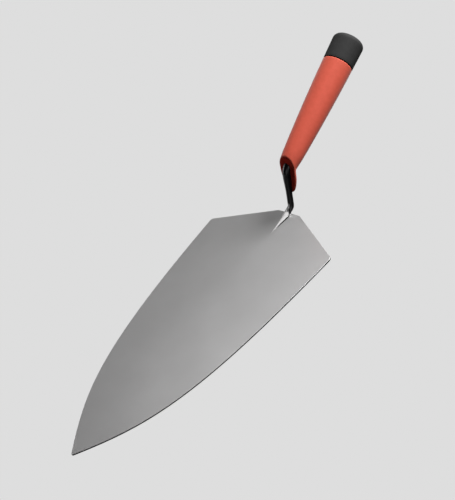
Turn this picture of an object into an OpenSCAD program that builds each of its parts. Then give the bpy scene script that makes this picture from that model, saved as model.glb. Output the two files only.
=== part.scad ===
// Philadelphia-pattern brick trowel.
// The origin is on the underside of the blade, on its centre line, level with the shoulders.
// The toe points along -Y, the handle rises towards +Y, and +Z is up. All sizes are millimetres.

/* [Blade] */
// Length of the blade from the heel to the point where its sides meet
blade_len = 280; // [230:5:340]
// Width of the blade across its shoulders, before their corners are rounded
blade_w = 137.6; // [110:0.2:170]
// Distance along the blade from the heel edge forward to the shoulders
shoulder_setback = 31.8; // [22:0.2:45]
// Width of the straight edge at the heel
heel_w = 24; // [16:1:40]
// Radius of the two shoulder corners
shoulder_r = 4; // [1:0.5:7]
// Radius of the two heel corners
heel_corner_r = 1.5; // [0.5:0.5:4]
// Radius of the toe
toe_r = 1.5; // [0.5:0.5:4]
// Angle of each side from the centre line at the toe, in degrees
toe_angle = 37; // [28:0.5:42]
// Angle of each side from the centre line at the shoulder, in degrees
side_angle = 4.4; // [0:0.2:8]
// How far the toe's angle pulls on the side curve, as a share of the side's length
toe_pull = 0.257; // [0.15:0.01:0.4]
// How far the shoulder's angle pulls on the side curve, as a share of the side's length
side_pull = 0.665; // [0.4:0.01:0.75]
// Thickness of the blade's centre line at the heel
heel_t = 2.2; // [1.8:0.1:3]
// Thickness of the blade's centre line at the toe
toe_t = 1.3; // [1:0.1:1.8]
// Fall of the upper face from the centre line to each shoulder
cross_fall = 0.6; // [0.2:0.1:0.8]

/* [Shank] */
// Diameter of the shank where it leaves the blade
shank_d = 5.5; // [4.4:0.1:6.8]
// Diameter of the shank where it enters the handle
neck_rod_d = 7; // [5.6:0.1:8.6]
// Height at which the shank starts to thicken
swell_z = 20; // [14:1:26]
// Rearward lean of the riser from the vertical, in degrees
riser_lean = 13.7; // [5:0.1:25]
// Height at which the riser's line meets the handle's axis
rise = 41.6; // [36:0.2:56]
// How far behind the heel edge the riser's line starts
heel_overhang = 4.5; // [3:0.1:7]
// Radius of the bend above the heel, along its middle
low_bend_r = 4; // [3:0.5:5]
// Radius of the bend into the handle, along its middle
high_bend_r = 12; // [8:0.5:14]
// Length of the spear-shaped foot in front of the heel edge
foot_len = 25; // [18:1:34]
// Greatest width of the foot
foot_w = 6.4; // [5:0.2:9]
// Slope of the foot's two sides from its ridge, in degrees
foot_slope = 30; // [20:1:45]
// Distance from the heel edge forward to the foot's greatest width
foot_shoulder = 5; // [3:0.5:10]
// Length of the tang inside the handle, from the end of the bend
tang_len = 72; // [50:1:90]
// Diameter of the tang at its end
tang_end_d = 3.8; // [3:0.1:5]

/* [Handle] */
// Upward tilt of the handle from the blade, in degrees
handle_lift = 23; // [15:0.5:32]
// Distance along the handle's axis from the riser's line to the handle's front face
nose_gap = 2.7; // [1:0.1:4]
// Length of the soft grip along the axis, from the front face to the end cap
grip_len = 102.7; // [85:0.1:125]
// Diameter of the grip at the front face
grip_front_d = 17; // [16:0.5:22]
// Diameter of the grip where it meets the end cap
grip_rear_d = 27.7; // [23:0.1:34]
// How far the grip swells out of a straight taper at mid length
grip_swell = 0.6; // [0:0.1:1.5]
// Wall of the soft grip over the core
grip_wall = 2.5; // [1.5:0.1:3.5]
// How far behind the end of the shank's bend the core starts, square to the front face
core_setback = 0.9; // [0.5:0.1:4]
// Rearward lean of the front face from the vertical, in degrees
face_lean = 11.3; // [5:0.1:20]
// Distance from the axis down the front face to the middle of the guard's tip
guard_drop = 20.4; // [17:0.2:26]
// Radius of the guard's tip
guard_tip_r = 4; // [3:0.1:5]
// How far the guard's outline stays inside the grip, on the radius
guard_inset = 0.4; // [0.2:0.1:1]
// Thickness of the guard at its tip
guard_tip_t = 2.6; // [2.4:0.1:4]
// Thickness of the guard halfway up to the grip
guard_mid_t = 3.4; // [3:0.1:5]

/* [End cap] */
// Length of the end cap along the axis
cap_len = 25.2; // [18:0.2:36]
// Diameter of the cap at its closed end
cap_end_d = 28.8; // [24:0.2:36]
// Radius of the cap's rounded edge
cap_edge_r = 4.7; // [2:0.1:7]
// Thickness of the cap's closed end
cap_floor_t = 5; // [3:0.5:8]
// Diameter of the core's spigot inside the cap
spigot_d = 19; // [15:0.5:20]

/* [Fits] */
// Gap around the tang and the shank where they pass into the handle
tang_gap = 0.1; // [0.05:0.05:0.3]
// Gap between the core's spigot and the cap, on the radius
cap_gap = 0.05; // [0.02:0.01:0.2]

/* [Hidden] */
$fn = 96;
side_steps = 22;
arc_steps = 5;
profile_steps = 14;
reach = 400;
cut_over = 1;
lap = 0.3;
bend_step = 0.02;
foot_root = 0.3;

heel_y = shoulder_setback;
toe_y = heel_y - blade_len;
riser_angle = 90 - riser_lean;
foot_axis_z = heel_t + shank_d / 2;
low_corner = [heel_y + heel_overhang, foot_axis_z];
high_corner = [low_corner[0] + (rise - foot_axis_z) * tan(riser_lean), rise];
low_turn = riser_angle;
high_turn = riser_angle - handle_lift;
low_tangent = low_bend_r * tan(low_turn / 2);
high_tangent = high_bend_r * tan(high_turn / 2);
riser_dir = [cos(riser_angle), sin(riser_angle)];
handle_dir = [cos(handle_lift), sin(handle_lift)];
nose = high_corner + nose_gap * handle_dir;
bend_end = high_tangent - nose_gap;
face_tilt = handle_lift + face_lean;
front_wall = bend_end * cos(face_tilt) + neck_rod_d / 2 * sin(face_tilt) + core_setback;

// Points of an arc of radius r that rounds the corner b between a and c
function unit(v) = v / norm(v);
function rounded(a, b, c, r) =
    let (u = unit(a - b), v = unit(c - b), half = acos(u * v) / 2)
    let (middle = b + unit(u + v) * r / sin(half), first = b + u * r / tan(half))
    let (start = first - middle, turn = sign(u[0] * v[1] - u[1] * v[0]) * (180 - 2 * half))
    [for (i = [0 : arc_steps])
        let (k = -turn * i / arc_steps)
        middle + [start[0] * cos(k) - start[1] * sin(k), start[0] * sin(k) + start[1] * cos(k)]];

// The blade's side: a cubic curve from the toe (t = 0) to the shoulder (t = 1) with two handles
toe = [0, toe_y];
shoulder = [blade_w / 2, 0];
toe_handle = toe + toe_pull * -toe_y * [sin(toe_angle), cos(toe_angle)];
side_handle = shoulder - side_pull * -toe_y * [sin(side_angle), cos(side_angle)];
function side_curve(t) =
    toe * pow(1 - t, 3) + toe_handle * 3 * t * pow(1 - t, 2)
    + side_handle * 3 * t * t * (1 - t) + shoulder * pow(t, 3);
function side_point(i) = side_curve(i / side_steps);

function right_side() = concat(
    [for (i = [1 : side_steps - 1]) side_point(i)],
    rounded(side_point(side_steps - 1), side_point(side_steps), [heel_w / 2, heel_y], shoulder_r),
    rounded(side_point(side_steps), [heel_w / 2, heel_y], [-heel_w / 2, heel_y], heel_corner_r));

function mirrored(points) = [for (i = [len(points) - 1 : -1 : 0]) [-points[i][0], points[i][1]]];

module blade_outline() {
    round_toe = rounded([-side_point(1)[0], side_point(1)[1]], side_point(0), side_point(1), toe_r);
    polygon(concat(round_toe, right_side(), mirrored(right_side())));
}

// Everything above a roof whose ridge starts at (0, y, z) and falls towards the toe, in degrees
module above_roof(y, z, ridge_fall, side_fall) {
    translate([0, y, z])
        for (side = [-1, 1])
            rotate([ridge_fall, side * side_fall, 0])
                translate([-reach, -reach, 0])
                    cube([2 * reach, 2 * reach, reach]);
}

module blade_body() {
    difference() {
        linear_extrude(height = heel_t) blade_outline();
        above_roof(heel_y, heel_t, atan((heel_t - toe_t) / blade_len), atan(cross_fall / (blade_w / 2)));
    }
}

module blade() {
    color([0.62, 0.61, 0.61]) blade_body();
}

// A round bar in the middle plane from a point along dir, with its radius given at distances
module bar(from, dir, stations) {
    last = len(stations) - 1;
    translate([0, from[0], from[1]])
        rotate([atan2(dir[1], dir[0]) - 90, 0, 0])
            rotate_extrude()
                polygon(concat([[0, stations[0][0]]],
                    [for (s = stations) [s[1], s[0]]],
                    [[0, stations[last][0]]]));
}

// A bend in the middle plane, about centre, from angle start by the angle turn
module bend(centre, r, bar_r, start, turn) {
    translate([0, centre[0], centre[1]])
        rotate([90, 0, 90])
            rotate([0, 0, start])
                rotate_extrude(angle = turn)
                    translate([r, 0])
                        circle(r = bar_r + bend_step);
}

// The shank from the heel to the end of the tang, thicker by gap all round
module shank_bar(gap) {
    thin_r = shank_d / 2 + gap;
    neck_r = neck_rod_d / 2 + gap;
    low_start = low_corner - [low_tangent, 0];
    high_start = high_corner - high_tangent * riser_dir;
    riser_len = norm(high_corner - low_corner);
    bend(low_start + [0, low_bend_r], low_bend_r, thin_r, -90, low_turn);
    bar(low_corner, riser_dir, [
        [low_tangent - lap, thin_r],
        [(swell_z - foot_axis_z) / riser_dir[1], thin_r],
        [riser_len - high_tangent, neck_r],
        [riser_len - high_tangent + lap, neck_r]]);
    bend(high_start + high_bend_r * [riser_dir[1], -riser_dir[0]], high_bend_r, neck_r,
        90 + handle_lift, high_turn);
    bar(high_corner, handle_dir, [
        [high_tangent - lap, neck_r],
        [high_tangent, neck_r],
        [high_tangent + tang_len + gap, tang_end_d / 2 + gap]]);
}

// The foot: a spear head whose ridge runs down to the blade at its point
module foot() {
    back_y = low_corner[0] - low_tangent + lap;
    wide_y = heel_y - foot_shoulder;
    tip_y = heel_y - foot_len;
    low_z = heel_t - foot_root;
    top_z = foot_axis_z + shank_d / 2;
    difference() {
        translate([0, 0, low_z])
            linear_extrude(height = top_z - low_z)
                polygon([[0, tip_y], [foot_w / 2, wide_y], [shank_d / 2, back_y],
                    [-shank_d / 2, back_y], [-foot_w / 2, wide_y]]);
        above_roof(back_y, top_z, atan((top_z - heel_t) / (back_y - tip_y)), foot_slope);
    }
}

module shank() {
    color([0.07, 0.07, 0.07])
        difference() {
            union() {
                shank_bar(0);
                foot();
            }
            blade_body();
        }
}

// Places its children with +Z along the handle's axis and the front face at the origin
module along_handle() {
    translate([0, nose[0], nose[1]])
        rotate([handle_lift - 90, 0, 0])
            children();
}

// Places its children with +Z up the front face and +Y square to it, into the handle
module on_face() {
    translate([0, nose[0], nose[1]])
        rotate([-face_lean, 0, 0])
            children();
}

function grip_r(s) =
    let (t = s / grip_len)
    grip_front_d / 2 + (grip_rear_d - grip_front_d) / 2 * t + 4 * grip_swell * t * (1 - t);

// The turned form of the grip from s_from to s_to along the axis, smaller by inset
module turned(s_from, s_to, inset) {
    rotate_extrude()
        polygon(concat([[0, s_from]],
            [for (i = [0 : profile_steps])
                let (s = s_from + (s_to - s_from) * i / profile_steps)
                [grip_r(s) - inset, s]],
            [[0, s_to]]));
}

// Everything in front of a plane that lies depth behind the front face
module front_of(depth) {
    on_face()
        translate([-reach / 2, depth - reach, -reach / 2])
            cube([reach, reach, reach]);
}

// The finger guard: an egg-shaped outline down the front face, thin at its tip
module guard() {
    top_r = grip_front_d / 2 - guard_inset;
    sink = top_r * 1.5;
    lean = asin((top_r - guard_tip_r) / guard_drop);
    low_y = -guard_drop - guard_tip_r;
    on_face()
        intersection() {
            rotate([90, 0, 0])
                mirror([0, 0, 1])
                    linear_extrude(height = sink) {
                        circle(r = top_r);
                        translate([0, -guard_drop]) circle(r = guard_tip_r);
                        polygon([[-top_r * cos(lean), -top_r * sin(lean)],
                            [-guard_tip_r * cos(lean), -guard_drop - guard_tip_r * sin(lean)],
                            [guard_tip_r * cos(lean), -guard_drop - guard_tip_r * sin(lean)],
                            [top_r * cos(lean), -top_r * sin(lean)]]);
                    }
            rotate([90, 0, 90])
                translate([0, 0, -top_r - cut_over])
                    linear_extrude(height = 2 * (top_r + cut_over))
                        polygon([[0, 0], [0, low_y], [guard_tip_t, low_y],
                            [guard_mid_t, (low_y - top_r) / 2], [sink, -top_r], [sink, 0]]);
        }
}

module core_body() {
    difference() {
        along_handle() {
            turned(-front_wall * 2, grip_len, grip_wall);
            translate([0, 0, grip_len - cut_over])
                cylinder(h = cap_len - cap_floor_t + cut_over, d = spigot_d);
        }
        front_of(front_wall);
    }
}

module handle_core() {
    color([0.1, 0.1, 0.1])
        difference() {
            core_body();
            shank_bar(tang_gap);
        }
}

module grip_sleeve() {
    color([0.8, 0.36, 0.29])
        difference() {
            union() {
                along_handle() turned(-grip_front_d, grip_len, 0);
                guard();
            }
            front_of(0);
            core_body();
            shank_bar(tang_gap);
        }
}

module end_cap() {
    joint_r = grip_r(grip_len);
    end_r = cap_end_d / 2;
    edge_z = cap_len - cap_edge_r;
    color([0.24, 0.24, 0.24])
        along_handle()
            translate([0, 0, grip_len])
                difference() {
                    rotate_extrude()
                        polygon(concat([[0, 0], [joint_r, 0]],
                            [for (i = [0 : 2 * arc_steps])
                                let (k = 90 * i / (2 * arc_steps))
                                [end_r - cap_edge_r * (1 - cos(k)), edge_z + cap_edge_r * sin(k)]],
                            [[0, cap_len]]));
                    translate([0, 0, -cut_over])
                        cylinder(h = cap_len - cap_floor_t + cut_over, d = spigot_d + 2 * cap_gap);
                }
}

blade();
shank();
handle_core();
grip_sleeve();
end_cap();
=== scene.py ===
"""Brick trowel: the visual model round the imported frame.

Shapes are drawn in millimetres, in the frame's axes, and finish_mesh scales each piece to metres.
"""

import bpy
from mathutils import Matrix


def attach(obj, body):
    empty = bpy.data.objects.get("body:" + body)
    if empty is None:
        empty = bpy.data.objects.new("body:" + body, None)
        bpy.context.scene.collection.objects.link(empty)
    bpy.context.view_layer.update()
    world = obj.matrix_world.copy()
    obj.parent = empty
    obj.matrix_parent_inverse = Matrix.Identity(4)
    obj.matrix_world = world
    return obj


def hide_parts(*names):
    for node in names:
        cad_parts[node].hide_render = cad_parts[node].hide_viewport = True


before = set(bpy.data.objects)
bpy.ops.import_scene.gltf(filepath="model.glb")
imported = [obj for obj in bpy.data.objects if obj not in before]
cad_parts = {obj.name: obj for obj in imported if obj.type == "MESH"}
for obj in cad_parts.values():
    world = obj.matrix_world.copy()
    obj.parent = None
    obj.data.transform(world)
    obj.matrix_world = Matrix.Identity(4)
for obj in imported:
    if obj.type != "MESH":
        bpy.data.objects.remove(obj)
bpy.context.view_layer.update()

import math

import bmesh
import bpy
from mathutils import Matrix, Vector

MM = 0.001

# ---------------------------------------------------------------- sizes, in millimetres

# Blade
BLADE_LEN = 280.0  # from the heel to the point where the sides meet
BLADE_W = 137.6  # across the shoulders
SETBACK = 31.8  # from the heel edge forward to the shoulders
HEEL_W = 24.0
SHOULDER_R = 4.0
HEEL_CORNER_R = 1.5
TOE_R = 1.5
TOE_ANGLE = math.radians(37.0)  # from the centre line to a side, at the toe
SIDE_ANGLE = math.radians(4.4)  # the same, at the shoulder
TOE_PULL = 0.257  # how far each angle pulls on the side curve, as a share of the side's length
SIDE_PULL = 0.665
HEEL_T = 2.2
TOE_T = 1.3
CROSS_FALL = 0.6  # fall of the upper face from the centre line to a shoulder
RIDGE_SPREAD = 0.3  # half width of the ridge beside the foot
CROWN_SPREAD = 26.0  # half width of the soft crown that it turns into
CROWN_LEN = 55.0  # distance over which it does
EDGE_R = 0.22
EDGE_BAND = 0.25  # band of narrow faces inside the rounded edge

# Shank
SHANK_R = 2.75  # where it leaves the blade
NECK_R = 3.5  # where it enters the handle
SWELL_Z = 20.0  # height at which it starts to thicken
RISER_ANGLE = math.radians(90 - 13.7)
RISE = 41.6  # height at which the riser's line meets the handle's axis
OVERHANG = 4.5  # from the heel edge back to the start of the riser's line
LOW_BEND_R = 4.0
HIGH_BEND_R = 12.0
FOOT_LEN = 25.0
FOOT_W = 6.4
FOOT_SHOULDER = 5.0  # from the heel edge forward to the foot's widest place
FOOT_SLOPE = math.radians(30.0)
FOOT_TOP = 4.7  # height of the ridge above the blade, at the foot's root
FOOT_SINK = 0.2  # how deep the foot stands in the blade
FOOT_WALL = 0.05  # least height of its side walls
FOOT_POINT = 0.08  # half width and height of its point
FOOT_ROUNDING = 2.0  # from the heel edge forward to where it starts to turn round
FOOT_END_GAP = 0.2  # from its last ring to the bend
TANG_LEN = 72.0
TANG_END_R = 1.9

# Grip
LIFT = math.radians(23.0)  # upward tilt of the handle
NOSE_GAP = 2.0  # along the axis, from the riser's line to the front face
GRIP_LEN = 103.4
GRIP_FRONT_R = 8.5
GRIP_REAR_R = 13.85
GRIP_SWELL = 0.6  # how far it swells out of a straight taper
GRIP_WALL = 2.5
GRIP_FLOOR = 12.0  # from the front face to the bottom of the grip's inside
NOSE_DRAW = 0.45  # how far it is drawn in at the front
NOSE_DRAW_LEN = 14.0
BEAD_R = 1.0  # rounding of its rear edge
BLEND_S = 20.0  # where the columns of points from the front face turn into plain rings

# The grip's front face and the finger guard
FACE_LEAN = math.radians(11.3)  # rearward lean of the face
FACE_BAND = 2.4  # width of the band inside its rim
FACE_MIDDLE = -4.0  # its middle point, up from the axis
RIM_R = 1.1
CROWN_RIM_R = 2.4  # rounding of the rim over the top of the face
CROWN_FULL = math.radians(50)  # angles from the top: the rounding is full up to the first
CROWN_END = math.radians(110)
RIM_DEPTH = 1.8  # depths behind the face, above the guard
NECK_DEPTH = 3.4
BACK_RIM_R = 0.4
NOTCH_R = 2.2  # rounding between the guard and the grip's flank
NOTCH_REACH = 4.0
GUARD_DROP = 25.2  # from the axis down the face to the guard's tip
GUARD_PULL = 9.0  # how far the guard's sides are pulled straight down
GUARD_TIP_PULL = 5.9  # how far its tip is pulled out to each side
GUARD_TIP_T = 1.7
GUARD_NECK_T = 2.6
GUARD_NECK_STEP = 0.1
GUARD_FROM = math.radians(95)  # angles from the top: the guard starts at the first
GUARD_FULL = math.radians(125)

# End cap
CAP_LEN = 25.2
CAP_END_R = 14.4
CAP_EDGE_R = 4.7
CAP_FLOOR_T = 5.0
CAP_LIP_R = 0.4
CAP_END_RINGS = (6.0, 2.0)  # radii of the rings of faces on the flat end
SPIGOT_R = 9.5
JOINT_GAP = 0.5  # groove between the grip and the cap
JOINT_DEPTH = 1.6

# Bare patches in the shank's black paint, and a painted highlight on the strip up the low bend
PAINT_END = 1.2  # from the heel edge back to the end of the ground foot, on its ridge
PAINT_POINT = 1.7  # how much sooner it ends per millimetre to the side
STRIP_HALF_W = 0.7  # light strip up the middle of the low bend
STRIP_TOP = 10.0
PAINT_FADE = 0.8
STRIP_FADE = 0.5
STRIP_TOP_FADE = 1.5
PAINT_WANDER = 0.8  # how far noise moves the edges of the foot and of the strip's top
STRIP_WANDER = 0.2  # the same, for the strip's sides

HEEL_Y = SETBACK
TOE_Y = HEEL_Y - BLADE_LEN
SIDE = Vector((1, 0, 0))
AXIS = Vector((0, math.cos(LIFT), math.sin(LIFT)))
ACROSS = Vector((0, -math.sin(LIFT), math.cos(LIFT)))
RISER = Vector((0, math.cos(RISER_ANGLE), math.sin(RISER_ANGLE)))
FOOT_AXIS_Z = HEEL_T + SHANK_R
LOW_CORNER = Vector((0, HEEL_Y + OVERHANG, FOOT_AXIS_Z))
HIGH_CORNER = LOW_CORNER + RISER * ((RISE - FOOT_AXIS_Z) / RISER.z)
NOSE = HIGH_CORNER + AXIS * NOSE_GAP
FACE_UP = Vector((0, math.sin(FACE_LEAN), math.cos(FACE_LEAN)))
FACE_IN = Vector((0, math.cos(FACE_LEAN), -math.sin(FACE_LEAN)))
FACE_TILT = LIFT + FACE_LEAN

# How finely the shapes are drawn
SIDE_STEPS = 90
BACK_STEPS = 16
HALF_COLUMNS = 16
COLUMN_CROWDING = 1.7
EDGE_STEPS = 4
FOOT_RINGS = 40
FOOT_SPANS = (7, 3, 6, 6, 3, 7)
SHANK_POINTS = sum(FOOT_SPANS)
LOW_BEND_STEPS = 12
RISER_STEPS = 24
HIGH_BEND_STEPS = 16
TANG_STEPS = 8
GRIP_POINTS = 128
CAP_POINTS = 96


# ---------------------------------------------------------------- small geometry helpers

def lerp(a, b, t):
    return a + (b - a) * t


def smooth(t):
    t = min(max(t, 0.0), 1.0)
    return t * t * (3 - 2 * t)


def bezier(p0, p1, p2, p3, t):
    u = 1 - t
    return p0 * u ** 3 + p1 * (3 * t * u * u) + p2 * (3 * t * t * u) + p3 * t ** 3


def quarter(steps, first=0):
    """The sine of each step of a quarter turn, and how far its cosine falls short of 1."""
    turns = [math.pi / 2 * i / steps for i in range(first, steps + 1)]
    return [(math.sin(turn), 1 - math.cos(turn)) for turn in turns]


def rounded(a, b, c, r, steps):
    """Points of the arc of radius r that rounds the corner b between a and c."""
    u, v = (a - b).normalized(), (c - b).normalized()
    half = u.angle(v) / 2
    middle = b + (u + v).normalized() * (r / math.sin(half))
    start, end = b + u * (r / math.tan(half)) - middle, b + v * (r / math.tan(half)) - middle
    turn = start.angle_signed(end)
    return [middle + Matrix.Rotation(-turn * i / steps, 2) @ start for i in range(steps + 1)]


def bridge(bm, loop, following):
    count = len(loop)
    for i in range(count):
        j = (i + 1) % count
        bm.faces.new((loop[i], loop[j], following[j], following[i]))


def loft(bm, rings):
    """Skins a list of rings that all have the same number of points, and closes both ends."""
    made = [[bm.verts.new(p) for p in ring] for ring in rings]
    count = len(made[0])
    for ring, following in zip(made, made[1:]):
        bridge(bm, ring, following)
    for ring in (made[0], made[-1]):
        middle = bm.verts.new(sum((v.co for v in ring), Vector()) / count)
        for i in range(count):
            bm.faces.new((ring[i], ring[(i + 1) % count], middle))


def link_mesh(name, bm):
    mesh = bpy.data.meshes.new(name)
    bm.to_mesh(mesh)
    bm.free()
    made = bpy.data.objects.new(name, mesh)
    bpy.context.collection.objects.link(made)
    return made


def finish_mesh(name, bm, angle):
    """Makes a piece that rides on the trowel. Edges that turn more than the angle stay sharp."""
    bmesh.ops.remove_doubles(bm, verts=bm.verts, dist=1e-4)
    bmesh.ops.recalc_face_normals(bm, faces=bm.faces)
    bmesh.ops.scale(bm, vec=(MM, MM, MM), verts=bm.verts)
    piece = link_mesh(name, bm)
    piece.data.shade_smooth()
    piece.data.set_sharp_from_angle(angle=math.radians(angle))
    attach(piece, "root")
    return piece


# ---------------------------------------------------------------- blade

def side_curve(t):
    toe, shoulder = Vector((0, TOE_Y)), Vector((BLADE_W / 2, 0))
    length = -TOE_Y
    toe_handle = toe + Vector((math.sin(TOE_ANGLE), math.cos(TOE_ANGLE))) * TOE_PULL * length
    side_handle = shoulder - Vector((math.sin(SIDE_ANGLE), math.cos(SIDE_ANGLE))) * SIDE_PULL * length
    return bezier(toe, toe_handle, side_handle, shoulder, t)


def blade_right_side():
    """The right-hand outline from the toe to the end of the heel corner's arc."""
    points = [side_curve(i / SIDE_STEPS) for i in range(1, SIDE_STEPS)]
    mirrored_first = Vector((-points[0].x, points[0].y))
    toe = rounded(mirrored_first, side_curve(0), points[0], TOE_R, 12)[6:]
    shoulder, heel = side_curve(1), Vector((HEEL_W / 2, HEEL_Y))
    shoulder_arc = rounded(points[-1], shoulder, heel, SHOULDER_R, 10)
    heel_arc = rounded(shoulder, heel, Vector((-HEEL_W / 2, HEEL_Y)), HEEL_CORNER_R, 6)
    back = [lerp(shoulder_arc[-1], heel_arc[0], i / BACK_STEPS) for i in range(1, BACK_STEPS)]
    points = [p for p in points if p.y < shoulder_arc[0].y - 0.2]
    return toe + points + shoulder_arc + back + heel_arc


def edge_normals(outline):
    """The outward direction at each point of the right-hand outline."""
    behind = [Vector((-outline[1].x, outline[1].y))] + outline[:-1]
    ahead = outline[1:] + [Vector((0, HEEL_Y))]
    along = [(after - before).normalized() for before, after in zip(behind, ahead)]
    return [Vector((d.y, -d.x)) for d in along]


def blade_top(x, y):
    """Height of the upper face: a crisp ridge by the foot that spreads into a soft crown."""
    along = (HEEL_Y - y) / BLADE_LEN
    spread = lerp(RIDGE_SPREAD, CROWN_SPREAD, smooth((HEEL_Y - FOOT_LEN - y) / CROWN_LEN))
    fall = (math.sqrt(x * x + spread * spread) - spread) / (BLADE_W / 2)
    return lerp(HEEL_T, TOE_T, along) - CROSS_FALL * fall


def blade_sheet(bm, inner, shares, height):
    """Fills the outline with faces at a height. Returns the vertices round its edge."""
    rows = [[bm.verts.new((0, inner[0].y, height(0, inner[0].y)))]]
    for p in inner[1:]:
        reach = max(p.x - EDGE_BAND, 0.9 * p.x)
        across = [-p.x] + [reach * share for share in shares] + [p.x]
        rows.append([bm.verts.new((x, p.y, height(x, p.y))) for x in across])
    columns = len(rows[1])
    for i in range(columns - 1):
        bm.faces.new((rows[0][0], rows[1][i], rows[1][i + 1]))
    for a, b in zip(rows[1:], rows[2:]):
        for i in range(columns - 1):
            bm.faces.new((a[i], a[i + 1], b[i + 1], b[i]))
    right = [rows[0][0]] + [row[-1] for row in rows[1:]]
    heel = list(reversed(rows[-1][1:-1]))
    left = [row[0] for row in reversed(rows[1:])]
    return right + heel + left


def build_blade():
    outline = blade_right_side()
    normals = edge_normals(outline)
    inner = [p - n * EDGE_R for p, n in zip(outline, normals)]
    inner[0].x = 0.0
    steps = [i / HALF_COLUMNS for i in range(-HALF_COLUMNS, HALF_COLUMNS + 1)]
    shares = [math.copysign(abs(step) ** COLUMN_CROWDING, step) for step in steps]
    bm = bmesh.new()
    top = blade_sheet(bm, inner, shares, blade_top)
    bottom = blade_sheet(bm, inner, shares, lambda x, y: 0.0)
    out = [Vector((0, -1))] + normals[1:] + [Vector((0, 1))] * len(shares)
    out += [Vector((-n.x, n.y)) for n in reversed(normals[1:])]

    def moved_out(loop, reach, rise):
        return [bm.verts.new(v.co + Vector((n.x * reach, n.y * reach, rise))) for v, n in zip(loop, out)]

    arc = quarter(EDGE_STEPS, first=1)
    loops = [top]
    loops += [moved_out(top, EDGE_R * reach, -EDGE_R * drop) for reach, drop in arc]
    loops += [moved_out(bottom, EDGE_R * reach, EDGE_R * drop) for reach, drop in reversed(arc)]
    loops.append(bottom)
    for loop, following in zip(loops, loops[1:]):
        bridge(bm, loop, following)
    return finish_mesh("trowel_blade", bm, angle=50)


# ---------------------------------------------------------------- shank

def shank_path():
    """(centre, direction, radius) at stations from the root of the foot to the end of the tang."""
    low_tangent = LOW_BEND_R * math.tan(RISER_ANGLE / 2)
    high_turn = RISER_ANGLE - LIFT
    high_tangent = HIGH_BEND_R * math.tan(high_turn / 2)
    stations = []
    low_start = LOW_CORNER - Vector((0, low_tangent, 0))
    for i in range(LOW_BEND_STEPS + 1):
        a = RISER_ANGLE * i / LOW_BEND_STEPS
        centre = low_start + Vector((0, math.sin(a), 1 - math.cos(a))) * LOW_BEND_R
        stations.append((centre, a, SHANK_R))
    low_end, high_start = stations[-1][0], HIGH_CORNER - RISER * high_tangent
    for i in range(1, RISER_STEPS):
        centre = lerp(low_end, high_start, i / RISER_STEPS)
        swell = smooth((centre.z - SWELL_Z) / (high_start.z - SWELL_Z))
        stations.append((centre, RISER_ANGLE, lerp(SHANK_R, NECK_R, swell)))
    pivot = high_start + Vector((0, RISER.z, -RISER.y)) * HIGH_BEND_R
    for i in range(HIGH_BEND_STEPS + 1):
        a = RISER_ANGLE - high_turn * i / HIGH_BEND_STEPS
        stations.append((pivot + Vector((0, -math.sin(a), math.cos(a))) * HIGH_BEND_R, a, NECK_R))
    bend_end = stations[-1][0]
    for i in range(1, TANG_STEPS + 1):
        t = i / TANG_STEPS
        stations.append((bend_end + AXIS * (TANG_LEN * t), LIFT, lerp(NECK_R, TANG_END_R, t)))
    return stations


def shank_ring(centre, angle, radius):
    up = Vector((0, -math.sin(angle), math.cos(angle)))
    turns = [2 * math.pi * i / SHANK_POINTS for i in range(SHANK_POINTS)]
    return [centre + SIDE * (radius * math.sin(a)) + up * (radius * math.cos(a)) for a in turns]


def foot_ring(y, half_width, height):
    """A spearhead's cross section: a ridge, two facets and two low side walls down to the blade."""
    base = blade_top(half_width, y) - FOOT_SINK
    top = blade_top(0, y) + height
    shoulder = max(top - half_width * math.tan(FOOT_SLOPE), base + FOOT_WALL)
    corners = [Vector((0, y, top)), Vector((half_width, y, shoulder)), Vector((half_width, y, base)),
               Vector((0, y, base)), Vector((-half_width, y, base)), Vector((-half_width, y, shoulder))]
    ring = []
    for i, span in enumerate(FOOT_SPANS):
        following = corners[(i + 1) % len(corners)]
        ring += [lerp(corners[i], following, k / span) for k in range(span)]
    return ring


def build_shank():
    stations = shank_path()
    root = stations[0][0]
    tip_y, wide_y = HEEL_Y - FOOT_LEN, HEEL_Y - FOOT_SHOULDER
    round_y = HEEL_Y - FOOT_ROUNDING
    rings = []
    for i in range(FOOT_RINGS):
        y = lerp(tip_y, root.y - FOOT_END_GAP, i / (FOOT_RINGS - 1))
        half_width = FOOT_W / 2 * (y - tip_y) / (wide_y - tip_y)
        if y >= wide_y:
            half_width = lerp(FOOT_W / 2, SHANK_R, smooth((y - wide_y) / (root.y - wide_y)))
        height = FOOT_TOP * (y - tip_y) / (root.y - tip_y)
        ring = foot_ring(y, max(half_width, FOOT_POINT), max(height, FOOT_POINT))
        circle = shank_ring(Vector((0, y, root.z)), 0, SHANK_R)
        rounding = smooth((y - round_y) / (root.y - round_y))
        rings.append([lerp(p, q, rounding) for p, q in zip(ring, circle)])
    rings += [shank_ring(*station) for station in stations]
    bm = bmesh.new()
    loft(bm, rings)
    return finish_mesh("trowel_shank", bm, angle=38)


# ---------------------------------------------------------------- handle

def grip_r(s):
    t = s / GRIP_LEN
    return lerp(GRIP_FRONT_R, GRIP_REAR_R, t) + 4 * GRIP_SWELL * t * (1 - t)


def skin_r(s):
    """The grip's radius with its front drawn in a little behind the face."""
    return grip_r(s) - NOSE_DRAW * smooth(1 - s / NOSE_DRAW_LEN)


def round_point(s, radius, angle):
    """A point of the handle at distance s along its axis. Angle 0 is the top."""
    return NOSE + AXIS * s + SIDE * (radius * math.sin(angle)) + ACROSS * (radius * math.cos(angle))


def body_at(depth, angle):
    """Where the turned grip lies at a depth behind the front face, at an angle round its axis."""
    s = depth / math.cos(FACE_TILT)
    for _ in range(4):
        s = (depth + skin_r(s) * math.cos(angle) * math.sin(FACE_TILT)) / math.cos(FACE_TILT)
    return s, round_point(s, skin_r(s), angle)


def on_face(flat, depth):
    return NOSE + SIDE * flat.x + FACE_UP * flat.y + FACE_IN * depth


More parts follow.
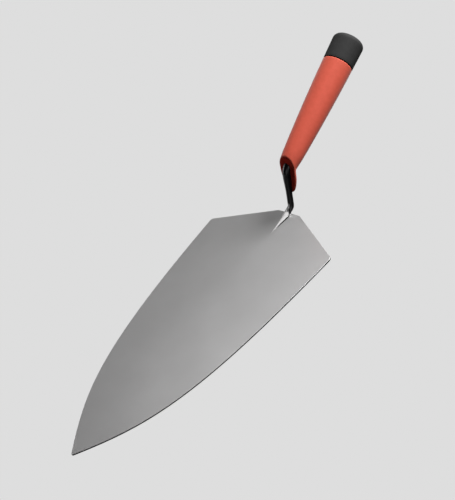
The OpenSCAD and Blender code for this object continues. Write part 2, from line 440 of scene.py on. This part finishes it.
def face_outline(angle):
    """The rim of the front face, in the face's own plane, for an angle round the axis."""
    turn = math.remainder(angle, 2 * math.pi)
    reached = body_at(0.0, min(abs(turn), GUARD_FROM))[1] - NOSE
    flat = Vector((reached.x, reached.dot(FACE_UP)))
    if abs(turn) > GUARD_FROM:
        tip = Vector((0, -GUARD_DROP))
        side_handle, tip_handle = flat + Vector((0, -GUARD_PULL)), tip + Vector((GUARD_TIP_PULL, 0))
        t = (abs(turn) - GUARD_FROM) / (math.pi - GUARD_FROM)
        flat = bezier(flat, side_handle, tip_handle, tip, t)
    flat.x = math.copysign(flat.x, turn)
    return flat


def inset_loop(points, distance):
    """Moves each point of a closed flat loop inwards, square to the loop."""
    moved = []
    for i, p in enumerate(points):
        d = (points[(i + 1) % len(points)] - points[i - 1]).normalized()
        moved.append(p + Vector((d.y, -d.x)) * distance)
    return moved


def soft_corner(before, corner, after, r, steps):
    """Points that round a corner, no further along either side than nearly half its length."""
    a, b = before - corner, after - corner
    start = corner + a.normalized() * min(r, 0.48 * a.length)
    end = corner + b.normalized() * min(r, 0.48 * b.length)
    return [bezier(start, start.lerp(corner, 2 / 3), end.lerp(corner, 2 / 3), end, i / steps)
            for i in range(steps + 1)]


def grip_column(angle, rim, inner):
    """One line of points from the front face over the rim and the guard's back to the grip's flank."""
    turn = abs(math.remainder(angle, 2 * math.pi))
    guard = smooth((turn - GUARD_FROM) / (GUARD_FULL - GUARD_FROM))
    guard_t = lerp(GUARD_NECK_T, GUARD_TIP_T, smooth(-rim.y / GUARD_DROP))
    rim_depth = lerp(RIM_DEPTH, guard_t, guard)
    neck_depth = lerp(NECK_DEPTH, GUARD_NECK_T + GUARD_NECK_STEP, guard)
    face, edge = on_face(inner, 0.0), on_face(rim, 0.0)
    back = body_at(rim_depth, angle)[1].lerp(on_face(rim, rim_depth), guard)
    neck_s, neck = body_at(neck_depth, angle)
    onward_s = neck_s + NOTCH_REACH
    onward = round_point(onward_s, skin_r(onward_s), angle)
    crown = smooth((CROWN_END - turn) / (CROWN_END - CROWN_FULL))
    points = soft_corner(face, edge, back, lerp(RIM_R, CROWN_RIM_R, crown), 6)
    points += soft_corner(edge, back, neck, BACK_RIM_R, 4)
    points += soft_corner(back, neck, onward, NOTCH_R, 6)
    start_s = (points[-1] - NOSE).dot(AXIS)
    flank = [lerp(start_s, BLEND_S, i / 8) for i in range(1, 9)]
    return points + [round_point(s, skin_r(s), angle) for s in flank]


def build_grip():
    angles = [2 * math.pi * i / GRIP_POINTS for i in range(GRIP_POINTS)]
    outline = [face_outline(a) for a in angles]
    inner = inset_loop(outline, FACE_BAND)
    columns = [grip_column(a, rim, p) for a, rim, p in zip(angles, outline, inner)]
    middle = Vector((0, FACE_MIDDLE))
    rings = [[on_face(lerp(middle, p, share), 0.0) for p in inner] for share in (0.15, 0.4, 0.7, 0.95)]
    rings += [list(ring) for ring in zip(*columns)]
    end_s, end_r = GRIP_LEN - JOINT_GAP / 2, grip_r(GRIP_LEN)
    outside = [lerp(BLEND_S, end_s - BEAD_R, i / 24) for i in range(1, 25)]
    profile = [(s, grip_r(s)) for s in outside]
    profile += [(end_s - BEAD_R * (1 - way), end_r - BEAD_R * drop) for way, drop in quarter(6, first=1)]
    inside = [lerp(end_s, GRIP_FLOOR, i / 12) for i in range(13)]
    profile += [(s, grip_r(s) - GRIP_WALL) for s in inside]
    rings += [[round_point(s, r, a) for a in angles] for s, r in profile]
    bm = bmesh.new()
    loft(bm, rings)
    return finish_mesh("trowel_grip", bm, angle=50)


def build_cap():
    angles = [2 * math.pi * i / CAP_POINTS for i in range(CAP_POINTS)]
    joint_r, start = grip_r(GRIP_LEN), JOINT_GAP / 2
    edge_s, groove_r = CAP_LEN - CAP_EDGE_R, joint_r - JOINT_DEPTH
    profile = [(CAP_LEN - CAP_FLOOR_T, SPIGOT_R), (0.0, SPIGOT_R), (0.0, groove_r), (start, groove_r)]
    profile += [(start + CAP_LIP_R * drop, joint_r - CAP_LIP_R * (1 - way)) for way, drop in quarter(4)]
    for i in range(1, 8):
        profile.append((lerp(start + CAP_LIP_R, edge_s, i / 8), lerp(joint_r, CAP_END_R, i / 8)))
    profile += [(edge_s + CAP_EDGE_R * way, CAP_END_R - CAP_EDGE_R * drop) for way, drop in quarter(12)]
    profile += [(CAP_LEN, r) for r in CAP_END_RINGS]
    bm = bmesh.new()
    loft(bm, [[round_point(GRIP_LEN + s, r, a) for a in angles] for s, r in profile])
    return finish_mesh("trowel_cap", bm, angle=50)


# ---------------------------------------------------------------- material helpers

def new_material(name):
    material = bpy.data.materials.new(name)
    material.use_nodes = True
    tree = material.node_tree
    return material, tree, tree.nodes["Principled BSDF"]


def add(tree, kind, values=None, **settings):
    made = tree.nodes.new(kind)
    for key, value in settings.items():
        setattr(made, key, value)
    for key, value in (values or {}).items():
        made.inputs[key].default_value = value
    return made


def set_shader(shader, **values):
    """Sets constants on the shader's sockets, whose names have spaces for underscores."""
    for name, value in values.items():
        shader.inputs[name.replace("_", " ")].default_value = value


def calc(tree, operation, *values):
    """A Math node on sockets and numbers."""
    made = add(tree, "ShaderNodeMath", operation=operation)
    for value, slot in zip(values, made.inputs):
        if isinstance(value, float):
            slot.default_value = value
        else:
            tree.links.new(value, slot)
    return made.outputs[0]


def step(tree, value, low, high):
    """0 at low and 1 at high."""
    made = add(tree, "ShaderNodeMapRange", {"From Min": low, "From Max": high})
    tree.links.new(value, made.inputs["Value"])
    return made.outputs["Result"]


def ramp(tree, source, stops):
    made = add(tree, "ShaderNodeValToRGB")
    for element, (position, colour) in zip(made.color_ramp.elements, stops):
        element.position = position
        element.color = (*colour, 1)
    tree.links.new(source, made.inputs[0])
    return made.outputs[0]


def mix_colours(tree, share, first, second):
    """first where share is 0 and second where it is 1. Either is a socket or a colour."""
    made = add(tree, "ShaderNodeMix", data_type="RGBA")
    tree.links.new(share, made.inputs[0])
    for index, colour in ((6, first), (7, second)):
        if isinstance(colour, tuple):
            made.inputs[index].default_value = (*colour, 1)
        else:
            tree.links.new(colour, made.inputs[index])
    return made.outputs[2]


def object_coords(tree, scale=(1, 1, 1)):
    coords = add(tree, "ShaderNodeTexCoord")
    mapping = add(tree, "ShaderNodeMapping", {"Scale": scale})
    tree.links.new(coords.outputs["Object"], mapping.inputs["Vector"])
    return mapping.outputs["Vector"]


def split(tree, vector):
    """The three parts of a vector, by the names X, Y and Z."""
    made = add(tree, "ShaderNodeSeparateXYZ")
    tree.links.new(vector, made.inputs[0])
    return made.outputs


def surface_normal(tree):
    return split(tree, add(tree, "ShaderNodeNewGeometry").outputs["Normal"])


def noise(tree, vector, scale, detail=4, roughness=0.5):
    made = add(tree, "ShaderNodeTexNoise", {"Scale": scale, "Detail": detail, "Roughness": roughness})
    tree.links.new(vector, made.inputs["Vector"])
    return made.outputs["Fac"]


def bump(tree, shader, height, strength, distance):
    made = add(tree, "ShaderNodeBump", {"Strength": strength, "Distance": distance})
    tree.links.new(height, made.inputs["Height"])
    tree.links.new(made.outputs["Normal"], shader.inputs["Normal"])


def grey(v):
    return (v, v, v)


# ---------------------------------------------------------------- materials

def steel_material():
    """Satin steel with a grind that runs along the blade, with painted shade round its cut edge."""
    material, tree, shader = new_material("ground_steel")
    set_shader(shader, Metallic=1.0)
    grain = noise(tree, object_coords(tree, (2400, 160, 2400)), 1.0, 4, 0.6)
    cloud = noise(tree, object_coords(tree), 22.0, 3)
    tone = ramp(tree, cloud, [(0.3, (0.53, 0.525, 0.525)), (0.7, (0.57, 0.565, 0.565))])
    # Painted shade: faces that turn away from flat, the rounded cut edge and the side walls, get a
    # near-black base colour in place of their shade.
    edge = step(tree, calc(tree, "ABSOLUTE", surface_normal(tree)["Z"]), 0.9, 0.4)
    tree.links.new(mix_colours(tree, edge, tone, (0.10, 0.098, 0.098)), shader.inputs["Base Color"])
    rough = ramp(tree, grain, [(0.2, grey(0.42)), (0.8, grey(0.47))])
    tree.links.new(rough, shader.inputs["Roughness"])
    bump(tree, shader, grain, 0.06, 0.00001)
    return material


def shank_material():
    """Black enamel, ground bright on the foot's facets, with a matt pale grey strip up the middle of the low
    bend that is partly bare steel and partly painted highlight.
    """
    material, tree, shader = new_material("black_enamel_and_ground_foot")
    coords = object_coords(tree)
    place, normal = split(tree, coords), surface_normal(tree)
    ragged = noise(tree, coords, 1500.0, 3)

    def ragged_step(value, low, high, wander):
        """A step between two sizes in millimetres, with its edge moved about by noise."""
        return step(tree, calc(tree, "MULTIPLY_ADD", ragged, wander * MM, value), low * MM, high * MM)

    side = calc(tree, "ABSOLUTE", place["X"])
    pointed = calc(tree, "MULTIPLY_ADD", side, PAINT_POINT, place["Y"])
    foot_end = HEEL_Y + PAINT_END
    on_foot = ragged_step(pointed, foot_end + PAINT_FADE, foot_end, PAINT_WANDER)
    # Only the foot's upward faces are bare metal. Its steep side walls keep the black, which is painted
    # shade along the walls.
    facets = calc(tree, "MULTIPLY", on_foot, step(tree, normal["Z"], 0.35, 0.5))
    middle = ragged_step(side, STRIP_HALF_W + STRIP_FADE, STRIP_HALF_W, STRIP_WANDER)
    low = ragged_step(place["Z"], STRIP_TOP + STRIP_TOP_FADE, STRIP_TOP, PAINT_WANDER)
    # The strip is coloured matt pale grey, not metal, and only where the surface faces forward. It is partly
    # bare steel and partly painted highlight.
    bare_strip_and_highlight = calc(tree, "MULTIPLY", calc(tree, "MULTIPLY", middle, low), step(tree, normal["Y"], 0.1, -0.1))
    bare_steel_and_highlight = calc(tree, "MAXIMUM", facets, bare_strip_and_highlight)
    tone = ramp(tree, bare_steel_and_highlight, [(0.0, (0.010, 0.0095, 0.0095)), (1.0, (0.62, 0.61, 0.61))])
    tree.links.new(tone, shader.inputs["Base Color"])
    tree.links.new(facets, shader.inputs["Metallic"])
    tree.links.new(ramp(tree, bare_steel_and_highlight, [(0.0, grey(0.30)), (1.0, grey(0.36))]), shader.inputs["Roughness"])
    bump(tree, shader, noise(tree, coords, 900.0, 3), 0.12, 0.00003)
    return material


def grip_material():
    """Soft orange rubber. The front face and guard get a darker, redder base colour, which is painted shade,
    and have no sheen.
    """
    material, tree, shader = new_material("soft_orange_grip")
    set_shader(shader, Roughness=0.6, Sheen_Roughness=0.35, Sheen_Tint=(1.0, 0.88, 0.86, 1))
    tone = ramp(tree, noise(tree, object_coords(tree), 260.0, 4, 0.6),
                [(0.3, (0.585, 0.090, 0.052)), (0.7, (0.64, 0.102, 0.062))])
    # flank is 0 where the surface faces forward, on the front face and guard. The darker red there is
    # painted shade on the same orange rubber.
    flank = step(tree, surface_normal(tree)["Y"], -0.95, -0.7)
    tree.links.new(mix_colours(tree, flank, (0.58, 0.045, 0.028), tone), shader.inputs["Base Color"])
    tree.links.new(calc(tree, "MULTIPLY", flank, 0.2), shader.inputs["Specular IOR Level"])
    tree.links.new(calc(tree, "MULTIPLY", flank, 0.28), shader.inputs["Sheen Weight"])
    bump(tree, shader, noise(tree, object_coords(tree), 1800.0, 3), 0.2, 0.00005)
    return material


def dark_material(name):
    """Matt dark grey rubber or plastic."""
    material, tree, shader = new_material(name)
    set_shader(shader, Roughness=0.75, Specular_IOR_Level=0.15)
    mottled = ramp(tree, noise(tree, object_coords(tree), 300.0), [(0.3, grey(0.0276)), (0.7, grey(0.0324))])
    tree.links.new(mottled, shader.inputs["Base Color"])
    bump(tree, shader, noise(tree, object_coords(tree), 1500.0, 3), 0.2, 0.00005)
    return material


# ---------------------------------------------------------------- assembling the pieces

def dress(piece, material, node):
    piece.data.materials.append(material)
    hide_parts(node)


dress(build_blade(), steel_material(), "blade")
dress(build_shank(), shank_material(), "shank")
dress(build_grip(), grip_material(), "grip_sleeve")
dress(build_cap(), dark_material("cap_rubber"), "end_cap")
core_plastic = dark_material("core_plastic")
for core_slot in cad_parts["handle_core"].material_slots:
    core_slot.material = core_plastic


# ---------------------------------------------------------------- stage, light and camera, in metres

PAPER = 0.73
FLOOR_R = 9.0
DOME_R = 8.5
FLOOR_Z = -0.0005
CARD_Z = -0.0003
CARDS = (  # white cards that only glossy surfaces reflect: one on the floor, one upright in front
    ("floor_card", ((-0.70, -0.50, CARD_Z), (-0.015, -0.50, CARD_Z),
                    (-0.015, 0.70, CARD_Z), (-0.70, 0.70, CARD_Z))),
    ("front_card", ((2.2, -0.8, 0.0), (0.8, -2.2, 0.0), (0.8, -2.2, 1.1), (2.2, -0.8, 1.1))),
)
LIGHT_DISTANCE = 2.0
LIGHT_CENTRE = Vector((0, -0.03, 0.02))
LIGHTS = (  # name, angle from +X, angle above the floor, size in metres, power in watts
    ("key", 70, 41, 0.9, 90.0),
    ("top_left", 150, 62, 0.7, 3.6),
    ("top", 110, 60, 0.7, 2.3),
    ("low_left", 180, 2, 1.8, 2.2),
    ("left_front", 195, 8, 1.0, 6.5),
    ("right", 5, 12, 1.0, 3.8),
)
VIEW_AZIMUTH = math.radians(56.55)
VIEW_ELEVATION = math.radians(39.59)
VIEW_ROLL = math.radians(-24.42)
VIEW_DISTANCE = 0.7575
VIEW_CENTRE = Vector((-0.00868, -0.03796, 0.01849))
LENS = 64.72
SENSOR = 36.0


def paper_material():
    material, tree, shader = new_material("pale_paper")
    tree.nodes.remove(shader)
    glow = add(tree, "ShaderNodeEmission", {"Color": (*grey(PAPER), 1), "Strength": 1.0})
    tree.links.new(glow.outputs[0], tree.nodes["Material Output"].inputs["Surface"])
    return material


def build_stage(paper):
    """A pale floor and a pale dome over it. Neither one throws light on the trowel."""
    bm = bmesh.new()
    bmesh.ops.create_circle(bm, cap_ends=True, radius=FLOOR_R, segments=64)
    floor = link_mesh("floor", bm)
    floor.location.z = FLOOR_Z
    bm = bmesh.new()
    bmesh.ops.create_uvsphere(bm, u_segments=48, v_segments=24, radius=DOME_R)
    dome = link_mesh("dome", bm)
    for thing in (floor, dome):
        thing.data.materials.append(paper)
        thing.visible_diffuse = False
        thing.visible_glossy = False
        thing.visible_shadow = False


def build_card(name, corners, paper):
    bm = bmesh.new()
    bm.faces.new([bm.verts.new(p) for p in corners])
    card = link_mesh(name, bm)
    card.data.materials.append(paper)
    card.visible_camera = False
    card.visible_diffuse = False
    card.visible_shadow = False


def build_light(name, azimuth, elevation, size, power):
    """A soft disk light that stands off from the trowel, by its angle from +X and above the floor."""
    a, e = math.radians(azimuth), math.radians(elevation)
    away = Vector((math.cos(a) * math.cos(e), math.sin(a) * math.cos(e), math.sin(e)))
    data = bpy.data.lights.new(name, "AREA")
    data.shape = "DISK"
    data.size = size
    data.energy = power
    light = bpy.data.objects.new(name, data)
    bpy.context.collection.objects.link(light)
    light.location = LIGHT_CENTRE + away * LIGHT_DISTANCE
    light.rotation_mode = "QUATERNION"
    light.rotation_quaternion = (-away).to_track_quat("-Z", "Y")
    light.visible_camera = False


def build_dark_world():
    world = bpy.data.worlds.new("studio")
    world.use_nodes = True
    world.node_tree.nodes["Background"].inputs["Strength"].default_value = 0.0
    bpy.context.scene.world = world


def build_camera():
    back = Vector((math.sin(VIEW_AZIMUTH) * math.cos(VIEW_ELEVATION),
                   -math.cos(VIEW_AZIMUTH) * math.cos(VIEW_ELEVATION), math.sin(VIEW_ELEVATION)))
    level = Vector((math.cos(VIEW_AZIMUTH), math.sin(VIEW_AZIMUTH), 0))
    right = Matrix.Rotation(VIEW_ROLL, 3, back) @ level
    up = back.cross(right)
    data = bpy.data.cameras.new("camera")
    data.lens = LENS
    data.sensor_width = SENSOR
    data.clip_start, data.clip_end = 0.01, 30.0
    camera = bpy.data.objects.new("camera", data)
    bpy.context.collection.objects.link(camera)
    turn = Matrix((right, up, back)).transposed()
    camera.matrix_world = Matrix.Translation(VIEW_CENTRE + back * VIEW_DISTANCE) @ turn.to_4x4()
    bpy.context.scene.camera = camera


pale_paper = paper_material()
build_stage(pale_paper)
for card_name, card_corners in CARDS:
    build_card(card_name, card_corners, pale_paper)
build_dark_world()
for light_row in LIGHTS:
    build_light(*light_row)
build_camera()
bpy.context.scene.view_settings.view_transform = "Standard"
